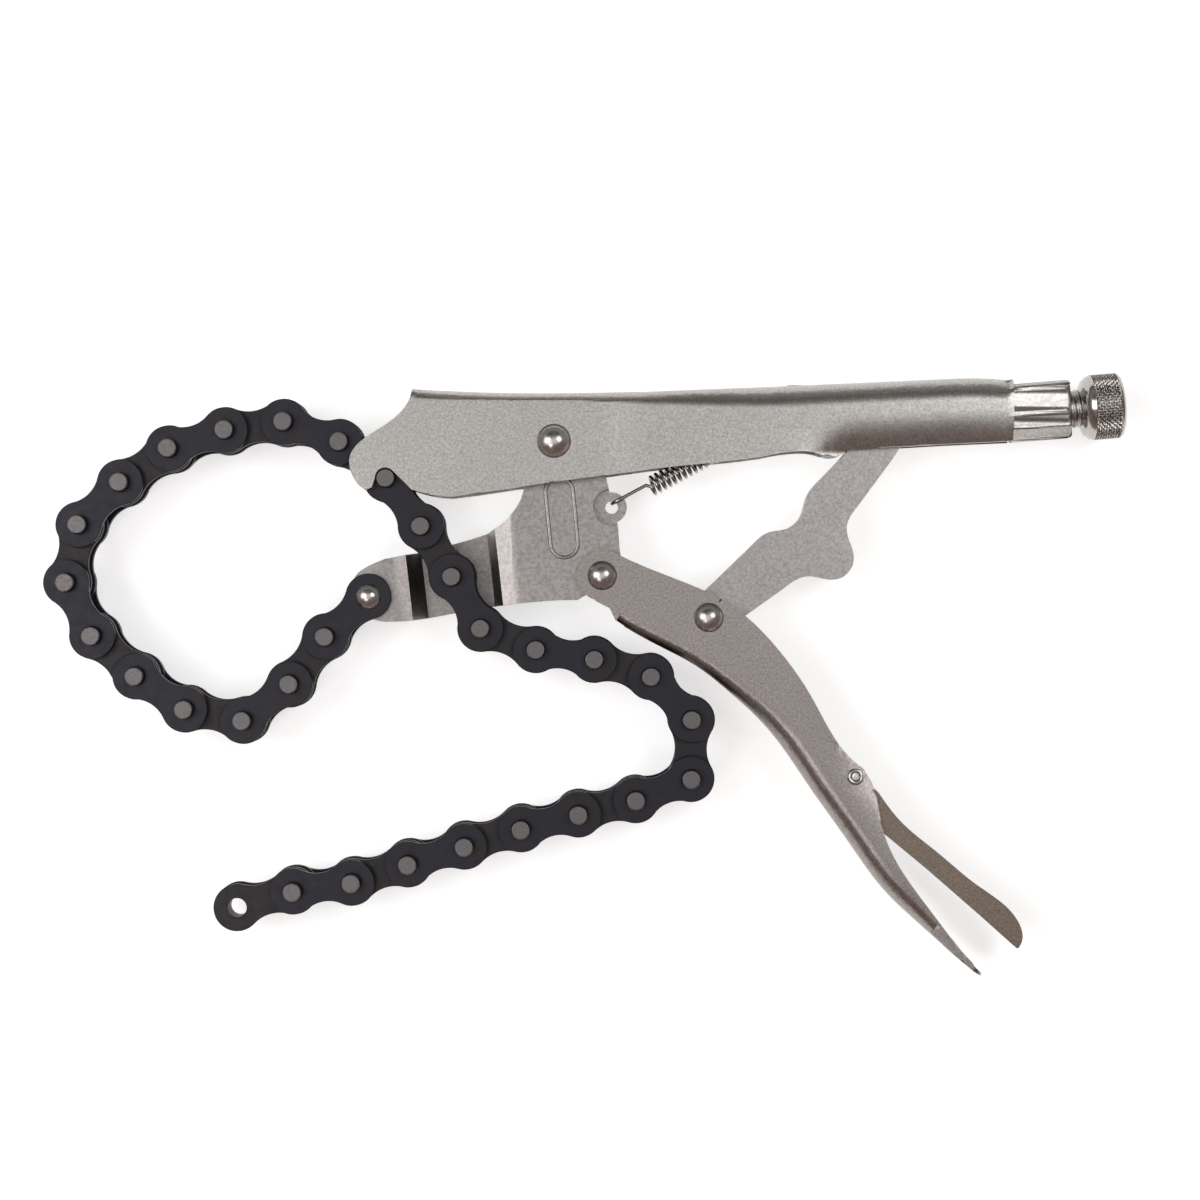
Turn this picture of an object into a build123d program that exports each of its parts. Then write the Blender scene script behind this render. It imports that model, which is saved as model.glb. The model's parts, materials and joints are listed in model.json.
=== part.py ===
from build123d import *
import math
import os

# Locking chain pliers lying on one side, open, with the chain hooked in the nose.
# X runs along the upper handle towards the knob, Y is up in the jaw's plane and Z is the thickness.
# The origin is the hook seat in the nose, at the middle of the thickness. Lengths are in millimetres.

# Clearances and overruns
run_fit = 0.06
seat_fit = 0.02
side_play = 0.15
overrun = 30.0

# Chain
pitch = 15.875
pin_dia = 5.0
pin_overhang = 2.4
plate_t = 1.8
inner_gap = 4.0
outer_end_dia = 12.3
outer_waist = 7.7
inner_end_dia = 12.7
inner_waist = 8.4
bush_wall = 1.2

# Upper handle, a folded channel open towards the lower handle
upper_reach = 168.0
upper_rise = 27.0
sheet_t = 2.1
front_gap = 12.4
rear_gap = 11.0
fold_radius = 2.6
narrow_start = 54.7
narrow_end = 70.7
narrow_bend = 9.0
press_long = 51.0
press_ramp = 5.0
press_top = 15.2
press_depth = 1.2
press_high = 6.0
web_front = 7.1
seat_clearance = 0.25
spring_tab_t = 2.0
spring_tab_dia = 6.0

# Screw, its socket and its knob
screw_dia = 10.6
screw_angle = 4.5
screw_beyond = 8.9
screw_below = 8.7
socket_long = 14.3
socket_tall = 15.4
socket_corner = 0.9
socket_end_round = 1.1
neck_long = 2.4
shoulder_long = 2.4
knob_dia = 17.8
knob_long = 9.2
knob_round = 1.4
spigot_dia = 6.0

# Moving jaw, from its pivot
jaw_pivot_x = 45.05
jaw_pivot_y = 9.84
jaw_reach = 54.0
jaw_drop = 48.0
jaw_t = 7.6
hub_dia = 20.0
hub_t = 11.6
arm_t = 4.8
arm_depth = 8.9
arm_tilt = 6.5
arm_bend = 2.6
foot_round = 2.4
ear_dia = 8.2
ear_t = 2.4
ear_hole_dia = 3.4
ear_recess_dia = 10.0
panel_width = 8.4
panel_rim = 1.0
panel_depth = 0.3
panel_rim_depth = 0.3

# Lower handle, from its pivot on the jaw
lower_pivot_dx = 12.89
lower_pivot_dy = -35.91
lower_reach = 102.0
lower_drop = 107.0
lower_gap = 8.0
lower_t = 2.0
lower_end_dia = 13.6
lower_fold = 3.0
tip_round = 3.5

# Toggle link, from its pivot on the lower handle to a tip before the upper handle's rear end and below its spine
toggle_short = 30.2
toggle_below = 11.0
toggle_t = 5.4
toggle_end_dia = 9.0
toggle_tip_dia = 7.0
screw_gap = 1.6

# Release lever, from its pin in the lower handle
lever_reach = 45.0
lever_drop = 47.0
lever_width = 7.4
lever_t = 1.5
lever_eye_dia = 9.0

# Rivets: shank and head diameters and head height
jaw_rivet_dia = 6.4
jaw_head_dia = 9.1
jaw_head_high = 2.5
handle_rivet_dia = 5.4
handle_head_dia = 7.9
handle_head_high = 2.1
chain_head_dia = 6.9
chain_head_high = 1.9
lever_pin_dia = 4.5
lever_pin_bore = 2.0
lever_pin_overhang = 0.5
lever_pin_round = 0.4

# Return spring, from the jaw's ear to its tab in the upper handle
spring_reach = 50.386
wire_dia = 0.95
coil_dia = 5.7
coil_turns = 26
coil_start = 11.9
coil_end = 4.6
wire_bend = 0.9
wire_sides = 8
gap_count = 24

# Outline points as shares of the sizes that each outline follows
nose_shares = [
    (0.042, 0.887), (0.036, 0.749), (0.005, 0.547), (-0.034, 0.388),
    (-0.056, 0.212), (-0.052, 0.022), (-0.031, -0.123),
]
hook_inner_share = (-0.021, -0.091)
nose_ramp_shares = [(0.042, -0.115), (0.066, -0.158), (0.104, -0.186)]
belly_shares = [
    (0.104, -0.186), (0.18, -0.122), (0.254, -0.053), (0.341, 0.02), (0.427, 0.093),
    (0.529, 0.16), (0.6, 0.215),
]
bulge_shares = [(0.6, 0.215), (0.654, 0.267), (0.68, 0.261), (0.71, 0.216), (0.735, 0.28)]
rear_edge_shares = [(0.735, 0.28), (0.865, 0.331), (1.0, 0.371)]
spine_shares = [(1.0, 0.985), (0.945, 1.007), (0.892, 1.0), (0.733, 0.955), (0.591, 0.914), (0.454, 0.875), (0.042, 0.887)]
socket_shares = [(0.5, 0.22), (0.3, 0.455), (0.065, 0.5), (-0.43, 0.445), (-0.5, 0.34)]
spring_tab_share = 0.715
fold_share = 0.8
jaw_top_shares = [
    (-0.153, -0.2), (-0.165, -0.316), (-0.219, -0.411), (-0.28, -0.472), (-0.388, -0.526),
    (-0.496, -0.562), (-0.7, -0.621), (-0.844, -0.655),
]
jaw_end_shares = [
    (-0.844, -0.655), (-0.927, -0.695), (-0.988, -0.749), (-1.01, -0.83), (-0.985, -0.924),
    (-0.904, -0.992), (-0.819, -1.006),
]
jaw_bottom_shares = [(-0.819, -1.006), (-0.7, -0.999), (-0.496, -0.958), (-0.292, -0.921), (0.116, -0.885)]
jaw_back_shares = [(0.355, -0.72), (0.326, -0.6), (0.318, -0.478), (0.272, -0.263), (0.25, -0.12)]
ear_share = (0.286, -0.365)
panel_top_share = (0.025, -0.277)
panel_foot_share = (0.05, -0.57)
attach_share = (-0.922, -0.865)
joggle_top_shares = [
    (-0.875, 1.0), (-0.8, 0.78), (-0.736, -1.0), (-0.394, -1.0), (-0.345, 0.78), (-0.25, 1.0),
]
joggle_foot_shares = [(-0.881, 1.0), (-0.815, -1.0), (-0.36, -1.0), (-0.246, 1.0)]
lower_inner_shares = [
    (0.025, 0.062), (0.152, 0.007), (0.257, -0.033), (0.341, -0.076), (0.399, -0.12),
    (0.458, -0.18), (0.55, -0.304), (0.625, -0.427), (0.674, -0.475),
]
lower_rear_shares = [
    (0.674, -0.475), (0.715, -0.533), (0.733, -0.619), (0.771, -0.714), (0.844, -0.817),
    (0.934, -0.933), (0.999, -0.998),
]
lower_outer_shares = [
    (0.997, -1.006), (0.938, -0.963), (0.862, -0.898), (0.744, -0.791), (0.642, -0.658),
    (0.558, -0.546), (0.491, -0.451), (0.424, -0.371), (0.34, -0.296), (0.249, -0.228),
    (0.14, -0.172), (0.036, -0.114),
]
fold_start_share = 0.13
toggle_pivot_share = (0.28, -0.104953)
lever_pivot_share = (0.66608, -0.50355)
fork_step_shares = [(0.036, -0.114), (0.02, -0.082), (-0.019, -0.063)]
toggle_front_shares = [
    (-0.08, 0.075), (0.266, 0.398), (0.312, 0.437), (0.378, 0.435), (0.45, 0.465), (0.495, 0.52),
    (0.506, 0.584), (0.532, 0.641), (0.684, 0.791), (0.9, 1.03),
]
toggle_back_shares = [
    (1.05, 0.93), (0.977, 0.814), (0.738, 0.5), (0.721, 0.455), (0.735, 0.4), (0.766, 0.315),
    (0.761, 0.263), (0.71, 0.2), (0.645, 0.187), (0.537, 0.212), (0.459, 0.193), (0.419, 0.161),
    (0.07, -0.075),
]
lever_back_shares = [
    (0.0, 0.1), (0.105, -0.043), (0.277, -0.262), (0.485, -0.43), (0.741, -0.631), (0.955, -0.802),
    (0.999, -0.939), (0.975, -0.984),
]
lever_face_shares = [(0.965, -0.984), (0.638, -0.705), (0.361, -0.478), (0.176, -0.33), (-0.02, -0.12)]

# Directions of the chain's links in degrees, from the riveted end. The loop's last two links close on the hook seat,
# from a place that lies the closing share of a pitch away from it.
loop_close_share = 1.975313
loop_angles = [-137, -127, -142, 169, 146, 137, 116, 78, 45.5, 35, 18, 8]
tail_angles = [
    -54, -58.5, -61, -21, -9.5, -17, -46.5, -90.5, -159, -166, -165.5, -163, -162.5, -162, -171.5, -163.5,
]

# Values worked out from the sizes above
inner_plate_z = inner_gap / 2
outer_plate_z = inner_plate_z + plate_t + side_play
chain_half = outer_plate_z + plate_t
pin_half = chain_half + pin_overhang
front_half = front_gap / 2 + sheet_t
rear_half = rear_gap / 2 + sheet_t
lower_half = lower_gap / 2 + lower_t
seat_radius = pin_dia / 2 + seat_clearance


def along(anchor, shares, reach, rise):
    """Points at shares of a reach and a rise from an anchor point."""
    return [(anchor[0] + x * reach, anchor[1] + y * rise) for x, y in shares]


def step(point, angle, distance):
    """The point at a distance from another, in a direction in degrees."""
    turn = math.radians(angle)
    return (point[0] + distance * math.cos(turn), point[1] + distance * math.sin(turn))


def heading_of(start, end):
    """The direction from one point to another, in degrees."""
    return math.degrees(math.atan2(end[1] - start[1], end[0] - start[0]))


def shifted(points, distance):
    """An open run of points moved to its left by a distance."""
    moved = []
    for i, point in enumerate(points):
        before, after = points[max(i - 1, 0)], points[min(i + 1, len(points) - 1)]
        moved.append(step(point, heading_of(before, after) + 90, distance))
    return moved


def closing_point(start, end, length):
    """Where two equal lengths from a start to an end meet, on the left of the way."""
    way = math.dist(start, end)
    lean = math.degrees(math.acos(way / 2 / length))
    return step(start, heading_of(start, end) + lean, length)


def closing_turn(start, angles, end, way):
    """How far a run of links turns about its start, in degrees, to stop at a set way from the end."""
    stop = start
    for angle in angles:
        stop = step(stop, angle, pitch)
    chord, span = math.dist(start, stop), math.dist(start, end)
    opening = math.degrees(math.acos((chord**2 + span**2 - way**2) / (2 * chord * span)))
    return heading_of(start, end) + opening - heading_of(start, stop)


# Pivots in the plane of the tool
seat = (0, 0)
jaw_pivot = (jaw_pivot_x, jaw_pivot_y)
lower_pivot = (jaw_pivot[0] + lower_pivot_dx, jaw_pivot[1] + lower_pivot_dy)
toggle_pivot = along(lower_pivot, [toggle_pivot_share], lower_reach, lower_drop)[0]
toggle_tip = (upper_reach - toggle_short, upper_rise - toggle_below)
toggle_reach = toggle_tip[0] - toggle_pivot[0]
toggle_rise = toggle_tip[1] - toggle_pivot[1]
lever_pivot = along(lower_pivot, [lever_pivot_share], lower_reach, lower_drop)[0]
attach_point = along(jaw_pivot, [attach_share], jaw_reach, jaw_drop)[0]
ear_point = along(jaw_pivot, [ear_share], jaw_reach, jaw_drop)[0]
spring_tab = (ear_point[0] + spring_reach, upper_rise * spring_tab_share)

screw_axis_x = upper_reach + screw_beyond
screw_axis_y = upper_rise - screw_below

loop_turn = closing_turn(attach_point, loop_angles, seat, loop_close_share * pitch)
chain = [attach_point]
for angle in loop_angles:
    chain.append(step(chain[-1], angle + loop_turn, pitch))
chain.append(closing_point(chain[-1], seat, pitch))
chain.append(seat)
for angle in tail_angles:
    chain.append(step(chain[-1], angle, pitch))

os.makedirs("parts", exist_ok=True)


def save(name, part):
    """Labels a finished piece and writes it under its name."""
    part.label = name
    export_step(part, f"parts/{name}.step")


def chain_plate(start, end, end_dia, waist, bore, base):
    """One waisted chain plate with two bores, from a base height upwards."""
    middle = ((start[0] + end[0]) / 2, (start[1] + end[1]) / 2)
    place = Plane(origin=(*middle, base), x_dir=(end[0] - start[0], end[1] - start[1], 0), z_dir=(0, 0, 1))
    end_radius = end_dia / 2
    # The waist's two hollow sides are arcs that touch both end circles.
    side_radius = (pitch**2 / 4 + waist**2 / 4 - end_radius**2) / (2 * (end_radius - waist / 2))
    side_centre = waist / 2 + side_radius
    touch = end_radius / (end_radius + side_radius)
    touch_x = pitch / 2 - touch * pitch / 2
    touch_y = touch * side_centre
    with BuildPart() as plate:
        with BuildSketch(place):
            with BuildLine():
                ThreePointArc((touch_x, touch_y), (pitch / 2 + end_radius, 0), (touch_x, -touch_y))
                ThreePointArc((touch_x, -touch_y), (0, -waist / 2), (-touch_x, -touch_y))
                ThreePointArc((-touch_x, -touch_y), (-pitch / 2 - end_radius, 0), (-touch_x, touch_y))
                ThreePointArc((-touch_x, touch_y), (0, waist / 2), (touch_x, touch_y))
            make_face()
            with Locations((-pitch / 2, 0), (pitch / 2, 0)):
                Circle(bore / 2, mode=Mode.SUBTRACT)
        extrude(amount=plate_t)
    return plate.part


links = len(chain) - 1

# Chain: odd links have outer plates and carry the pins, even links have inner plates and bushes.
for number in range(1, links + 1):
    start, end = chain[number - 1], chain[number]
    label = f"{number:02d}"
    if number % 2:
        bore = pin_dia + 2 * seat_fit
        plates = [
            chain_plate(start, end, outer_end_dia, outer_waist, bore, base)
            for base in (outer_plate_z, -outer_plate_z - plate_t)
        ]
        save(f"outer_link_{label}", Compound(children=plates))
        pin_points = [end] if number == 1 else [start, end]
        with BuildPart() as pins:
            with BuildSketch(Plane.XY.offset(-pin_half)):
                with Locations(*pin_points):
                    Circle(pin_dia / 2)
            extrude(amount=2 * pin_half)
        save(f"chain_pins_{label}", pins.part)
    else:
        bore = pin_dia + 2 * run_fit
        with BuildPart() as inner_link:
            for base in (inner_plate_z, -inner_plate_z - plate_t):
                add(chain_plate(start, end, inner_end_dia, inner_waist, bore, base))
            with BuildSketch(Plane.XY.offset(-inner_plate_z)):
                with Locations(start, end):
                    Circle(bore / 2 + bush_wall)
                    Circle(bore / 2, mode=Mode.SUBTRACT)
            extrude(amount=inner_gap)
        save(f"inner_link_{label}", inner_link.part)


def rivet(centre, shank, half, head, high):
    """A rivet across the thickness with a domed head on each side."""
    bulge = (head**2 / 4 + high**2) / (2 * high)
    with BuildPart() as piece:
        with BuildSketch(Plane(origin=(centre[0], centre[1], 0), x_dir=(1, 0, 0), z_dir=(0, -1, 0))):
            with BuildLine():
                Line((0, -half - high), (0, half + high))
                RadiusArc((0, half + high), (head / 2, half), bulge)
                Line((head / 2, half), (shank / 2, half))
                Line((shank / 2, half), (shank / 2, -half))
                Line((shank / 2, -half), (head / 2, -half))
                RadiusArc((head / 2, -half), (0, -half - high), bulge)
            make_face()
        revolve(axis=Axis((centre[0], centre[1], 0), (0, 0, 1)))
    return piece.part


save("jaw_rivet", rivet(jaw_pivot, jaw_rivet_dia, front_half, jaw_head_dia, jaw_head_high))
save("handle_rivet", rivet(lower_pivot, handle_rivet_dia, lower_half, handle_head_dia, handle_head_high))
save("link_rivet", rivet(toggle_pivot, handle_rivet_dia, lower_half, handle_head_dia, handle_head_high))
save("chain_rivet", rivet(attach_point, pin_dia, chain_half, chain_head_dia, chain_head_high))

with BuildPart() as lever_pin:
    with BuildSketch(Plane.XY.offset(-lower_half - lever_pin_overhang)):
        with Locations(lever_pivot):
            Circle(lever_pin_dia / 2)
            Circle(lever_pin_bore / 2, mode=Mode.SUBTRACT)
    extrude(amount=2 * (lower_half + lever_pin_overhang))
    rims = lever_pin.edges().filter_by(GeomType.CIRCLE)
    chamfer(rims, lever_pin_round)
save("lever_pin", lever_pin.part)

# Screw axis and the stations along it
axis_dir = (math.cos(math.radians(screw_angle)), math.sin(math.radians(screw_angle)))
screw_plane = Plane(
    origin=(screw_axis_x, screw_axis_y, 0), z_dir=(axis_dir[0], axis_dir[1], 0), x_dir=(0, 0, 1)
)
turning_plane = Plane(origin=(screw_axis_x, screw_axis_y, 0), x_dir=(axis_dir[0], axis_dir[1], 0), z_dir=(0, 0, 1))
tip_station = (toggle_tip[0] - screw_axis_x) * axis_dir[0] + (toggle_tip[1] - screw_axis_y) * axis_dir[1]
screw_start = tip_station + toggle_tip_dia / 2 + screw_gap
socket_start = -socket_long / 2
socket_wide = 2 * rear_half
socket_plane = screw_plane
neck_start = socket_long / 2
shoulder_start = neck_start + neck_long
knob_start = shoulder_start + shoulder_long

# Upper handle: the folded channel
upper_top = along(seat, spine_shares, upper_reach, upper_rise)
rear_x = upper_reach


def bend_corners(corners):
    """The corners of a plan where the channel narrows."""
    return corners.filter_by(lambda corner: narrow_start - run_fit < corner.X < narrow_end + run_fit)


def pressed_side(face, side):
    """The wedge by which a wall's lower part is pressed in around the screw, outside a face height."""
    low = press_top - press_high
    depths = [(rear_x - press_long, run_fit), (rear_x - press_long + press_ramp, press_depth), (rear_x + overrun, press_depth)]
    sections = []
    for x, depth in depths:
        with BuildSketch(Plane(origin=(x, 0, 0), x_dir=(0, 1, 0), z_dir=(1, 0, 0))) as section:
            with BuildLine():
                Polyline(
                    (press_top, side * face),
                    (low, side * (face - depth)),
                    (low - overrun, side * (face - depth)),
                    (low - overrun, side * (face + overrun)),
                    (press_top, side * (face + overrun)),
                    close=True,
                )
            make_face()
        sections.append(section.sketch)
    with BuildPart() as wedge:
        loft(sections, ruled=True)
    return wedge.part


with BuildPart() as channel_space:
    with BuildSketch(Plane.XY.offset(-front_half - overrun)):
        with BuildLine():
            roof = Spline(*shifted(upper_top, sheet_t))
            Polyline(
                roof @ 1,
                (web_front, (roof @ 1).Y),
                (web_front, upper_rise + overrun),
                (-overrun, upper_rise + overrun),
                (-overrun, -overrun),
                (rear_x + sheet_t, -overrun),
                (rear_x + sheet_t, (roof @ 0).Y),
                roof @ 0,
            )
        make_face()
    extrude(amount=2 * (front_half + overrun))
    with BuildSketch(Plane.XZ.offset(-upper_rise - 2 * overrun)) as channel_space_plan:
        with BuildLine():
            Polyline(
                (-2 * overrun, front_gap / 2),
                (narrow_start, front_gap / 2),
                (narrow_end, rear_gap / 2),
                (rear_x + overrun, rear_gap / 2),
                (rear_x + overrun, -rear_gap / 2),
                (narrow_end, -rear_gap / 2),
                (narrow_start, -front_gap / 2),
                (-2 * overrun, -front_gap / 2),
                (-2 * overrun, front_gap / 2),
            )
        make_face()
        fillet(bend_corners(channel_space_plan.vertices()), narrow_bend)
    extrude(amount=2 * (upper_rise + 2 * overrun), mode=Mode.INTERSECT)
    for side in (1, -1):
        add(pressed_side(rear_gap / 2, side), mode=Mode.SUBTRACT)

with BuildPart() as upper_handle:
    nose = along(seat, nose_shares, upper_reach, upper_rise)
    hook_inner = along(seat, [hook_inner_share], upper_reach, upper_rise)[0]
    ramp = along(seat, nose_ramp_shares, upper_reach, upper_rise)
    belly = along(seat, belly_shares, upper_reach, upper_rise)
    bulge_edge = along(seat, bulge_shares, upper_reach, upper_rise)
    rear_edge = along(seat, rear_edge_shares, upper_reach, upper_rise)
    with BuildSketch(Plane.XY.offset(-front_half)):
        with BuildLine():
            Spline(*nose)
            Line(nose[-1], hook_inner)
            Line(hook_inner, (-seat_radius, 0))
            ThreePointArc((-seat_radius, 0), step(seat, 110, seat_radius), step(seat, 45, seat_radius))
            Line(step(seat, 45, seat_radius), ramp[0])
            Spline(*ramp)
            Spline(*belly)
            Spline(*bulge_edge)
            Spline(*rear_edge)
            Line(rear_edge[-1], upper_top[0])
            Spline(*upper_top)
        make_face()
    extrude(amount=2 * front_half)
    with BuildSketch(Plane.XZ.offset(-upper_rise - overrun)) as handle_plan:
        with BuildLine():
            Polyline(
                (-overrun, front_half),
                (narrow_start, front_half),
                (narrow_end, rear_half),
                (rear_x + overrun, rear_half),
                (rear_x + overrun, -rear_half),
                (narrow_end, -rear_half),
                (narrow_start, -front_half),
                (-overrun, -front_half),
                (-overrun, front_half),
            )
        make_face()
        fillet(bend_corners(handle_plan.vertices()), narrow_bend)
    extrude(amount=2 * (upper_rise + overrun), mode=Mode.INTERSECT)
    spine_edges = upper_handle.edges().filter_by(
        lambda edge: edge.center().Y > upper_rise * fold_share
        and abs(edge.center().Z) > rear_half - run_fit
        and edge.length > 2 * fold_radius
    )
    fillet(spine_edges, fold_radius)
    for side in (1, -1):
        add(pressed_side(rear_half, side), mode=Mode.SUBTRACT)
    add(channel_space.part, mode=Mode.SUBTRACT)
    right_side = [(wide * socket_wide, tall * socket_tall) for tall, wide in socket_shares]
    left_side = [(-wide, tall) for wide, tall in reversed(right_side)]
    with BuildPart() as socket:
        with BuildSketch(socket_plane.offset(socket_start - sheet_t)) as socket_section:
            with BuildLine():
                Polyline(*right_side, *left_side, close=True)
            make_face()
            fillet(socket_section.vertices(), socket_corner)
        extrude(amount=socket_long + sheet_t)
        end_edges = socket.faces().sort_by(Axis((screw_axis_x, screw_axis_y, 0), (*axis_dir, 0)))[-1].edges()
        fillet(end_edges, socket_end_round)
    add(socket.part)
    with BuildSketch(screw_plane.offset(socket_start - overrun)):
        Circle(screw_dia / 2 + run_fit)
    extrude(amount=2 * overrun, mode=Mode.SUBTRACT)
    with BuildSketch(Plane.XY.offset(-spring_tab_t / 2)):
        with Locations(spring_tab):
            Circle(spring_tab_dia / 2)
        with Locations((spring_tab[0], spring_tab[1] + spring_tab_dia / 2)):
            Rectangle(spring_tab_dia, spring_tab_dia)
        with Locations(spring_tab):
            Circle(ear_hole_dia / 2, mode=Mode.SUBTRACT)
    extrude(amount=spring_tab_t)
    with BuildSketch(Plane.XY.offset(-front_half)):
        with Locations(jaw_pivot):
            Circle(jaw_rivet_dia / 2 + seat_fit)
    extrude(amount=2 * front_half, mode=Mode.SUBTRACT)
save("upper_handle", upper_handle.part)

# Screw and knob
with BuildPart() as adjusting_screw:
    with BuildSketch(screw_plane.offset(screw_start)):
        Circle(screw_dia / 2)
    extrude(amount=shoulder_start - screw_start)
    with BuildSketch(screw_plane.offset(shoulder_start)):
        Circle(spigot_dia / 2)
    extrude(amount=shoulder_long + knob_long / 2)
save("adjusting_screw", adjusting_screw.part)

with BuildPart() as knurled_knob:
    knob_end = knob_start + knob_long
    spigot_end = shoulder_start + shoulder_long + knob_long / 2 + seat_fit
    with BuildSketch(turning_plane):
        with BuildLine():
            Line((shoulder_start, screw_dia / 2), (knob_start, knob_dia / 2 - knob_round))
            RadiusArc((knob_start, knob_dia / 2 - knob_round), (knob_start + knob_round, knob_dia / 2), knob_round)
            Line((knob_start + knob_round, knob_dia / 2), (knob_end - knob_round, knob_dia / 2))
            RadiusArc((knob_end - knob_round, knob_dia / 2), (knob_end, knob_dia / 2 - knob_round), knob_round)
            Polyline(
                (knob_end, knob_dia / 2 - knob_round),
                (knob_end, 0),
                (spigot_end, 0),
                (spigot_end, spigot_dia / 2 + seat_fit),
                (shoulder_start, spigot_dia / 2 + seat_fit),
                (shoulder_start, screw_dia / 2),
            )
        make_face()
    revolve(axis=Axis((screw_axis_x, screw_axis_y, 0), (axis_dir[0], axis_dir[1], 0)))
save("knurled_knob", knurled_knob.part)



def in_arm(corner):
    """Whether a corner of the arm's section lies between its two ends."""
    place = arm_plane.to_local_coords(Vector(corner.X, corner.Y, corner.Z))
    return abs(place.X) < jaw_reach - run_fit


# Moving jaw: a forged plate whose arm dips under the chain
arm_plane = Plane(
    origin=(jaw_pivot[0], jaw_pivot[1], 0),
    x_dir=(math.cos(math.radians(arm_tilt)), math.sin(math.radians(arm_tilt)), 0),
    z_dir=(math.sin(math.radians(arm_tilt)), -math.cos(math.radians(arm_tilt)), 0),
)
with BuildPart() as moving_jaw:
    top = along(jaw_pivot, jaw_top_shares, jaw_reach, jaw_drop)
    end = along(jaw_pivot, jaw_end_shares, jaw_reach, jaw_drop)
    bottom = along(jaw_pivot, jaw_bottom_shares, jaw_reach, jaw_drop)
    back = along(jaw_pivot, jaw_back_shares, jaw_reach, jaw_drop)
    jaw_low = -arm_depth - arm_t
    with BuildSketch(Plane.XY.offset(jaw_low)):
        with BuildLine():
            Spline(*top)
            Spline(*end)
            Spline(*bottom)
            Line(bottom[-1], back[0])
            Spline(*back)
            Line(back[-1], top[0])
        make_face()
        with Locations(jaw_pivot):
            Circle(hub_dia / 2)
        with Locations(lower_pivot):
            Circle(lower_end_dia / 2 - run_fit)
    extrude(amount=hub_t / 2 - jaw_low)
    # The section along the arm: body, dip and raised end
    dip_top = along((0, (jaw_t / 2 - arm_depth) / 2), joggle_top_shares, jaw_reach, (jaw_t / 2 + arm_depth) / 2)
    dip_foot = along((0, (jaw_low - jaw_t / 2) / 2), joggle_foot_shares, jaw_reach, (-jaw_t / 2 - jaw_low) / 2)
    with BuildSketch(arm_plane.offset(-upper_rise - overrun)) as arm_section:
        with BuildLine():
            Polyline(
                (-jaw_reach - overrun, jaw_t / 2),
                *dip_top,
                (jaw_reach, jaw_t / 2),
                (jaw_reach, -jaw_t / 2),
                *reversed(dip_foot),
                (-jaw_reach - overrun, -jaw_t / 2),
                close=True,
            )
        make_face()
        bends = arm_section.vertices().filter_by(lambda corner: in_arm(corner))
        fillet(bends, arm_bend)
    extrude(amount=2 * (jaw_drop + upper_rise + overrun), mode=Mode.INTERSECT)
    foot_edges = moving_jaw.edges().filter_by(
        lambda edge: abs(edge.center().Z - jaw_low) < run_fit and edge.length > arm_t
        and abs((edge % 0.5).dot(arm_plane.z_dir)) < abs((edge % 0.5).dot(arm_plane.x_dir))
    )
    fillet(foot_edges, foot_round)
    with BuildSketch(Plane.XY.offset(-hub_t / 2)):
        with Locations(jaw_pivot):
            Circle(hub_dia / 2)
    extrude(amount=hub_t)
    for recess_start in (ear_t / 2, -ear_t / 2 - overrun):
        with BuildSketch(Plane.XY.offset(recess_start)):
            with Locations(ear_point):
                Circle(ear_recess_dia / 2)
        extrude(amount=overrun, mode=Mode.SUBTRACT)
    with BuildSketch(Plane.XY.offset(-ear_t / 2)):
        with Locations(ear_point):
            Circle(ear_dia / 2)
    extrude(amount=ear_t)
    with BuildSketch(Plane.XY.offset(-overrun)):
        with Locations(jaw_pivot):
            Circle(jaw_rivet_dia / 2 + run_fit)
        with Locations(lower_pivot):
            Circle(handle_rivet_dia / 2 + run_fit)
        with Locations(attach_point):
            Circle(pin_dia / 2 + seat_fit)
        with Locations(ear_point):
            Circle(ear_hole_dia / 2)
    extrude(amount=2 * overrun, mode=Mode.SUBTRACT)
    panel_top, panel_foot = along(jaw_pivot, [panel_top_share, panel_foot_share], jaw_reach, jaw_drop)
    panel_steps = [(panel_depth, panel_width), (panel_depth + panel_rim_depth, panel_width - 2 * panel_rim)]
    for depth, width in panel_steps:
        with BuildSketch(Plane.XY.offset(jaw_t / 2 - depth)):
            with BuildLine():
                panel_line = Line(panel_top, panel_foot)
            SlotArc(panel_line, width)
        extrude(amount=hub_t, mode=Mode.SUBTRACT)
save("moving_jaw", moving_jaw.part)

# Lower handle: a folded channel, forked at the jaw
lower_inner = along(lower_pivot, lower_inner_shares, lower_reach, lower_drop)
lower_rear = along(lower_pivot, lower_rear_shares, lower_reach, lower_drop)
lower_outer = along(lower_pivot, lower_outer_shares, lower_reach, lower_drop)
fork_step = along(lower_pivot, fork_step_shares, lower_reach, lower_drop)


def fold_cut(side):
    """What the bend takes off the web's corner on one side, along the handle's outer edge."""
    with BuildPart() as cut:
        with BuildLine(Plane.XY.offset(side * lower_half)) as bend:
            whole = Spline(*lower_outer, mode=Mode.PRIVATE)
            add(whole.trim(fold_start_share, 1))
        bend_path = bend.wires()[0]
        heading = bend_path % 0
        across = Plane(origin=bend_path @ 0, x_dir=(heading.Y, -heading.X, 0), z_dir=heading)
        half_way = lower_fold * (1 - math.sqrt(0.5))
        with BuildSketch(across):
            with BuildLine():
                Polyline(
                    (0, side * lower_fold),
                    (-lower_fold, side * lower_fold),
                    (-lower_fold, -side * lower_fold),
                    (lower_fold, -side * lower_fold),
                    (lower_fold, 0),
                )
                ThreePointArc((lower_fold, 0), (half_way, side * half_way), (0, side * lower_fold))
            make_face()
        sweep(path=bend_path)
    return cut.part


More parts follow.
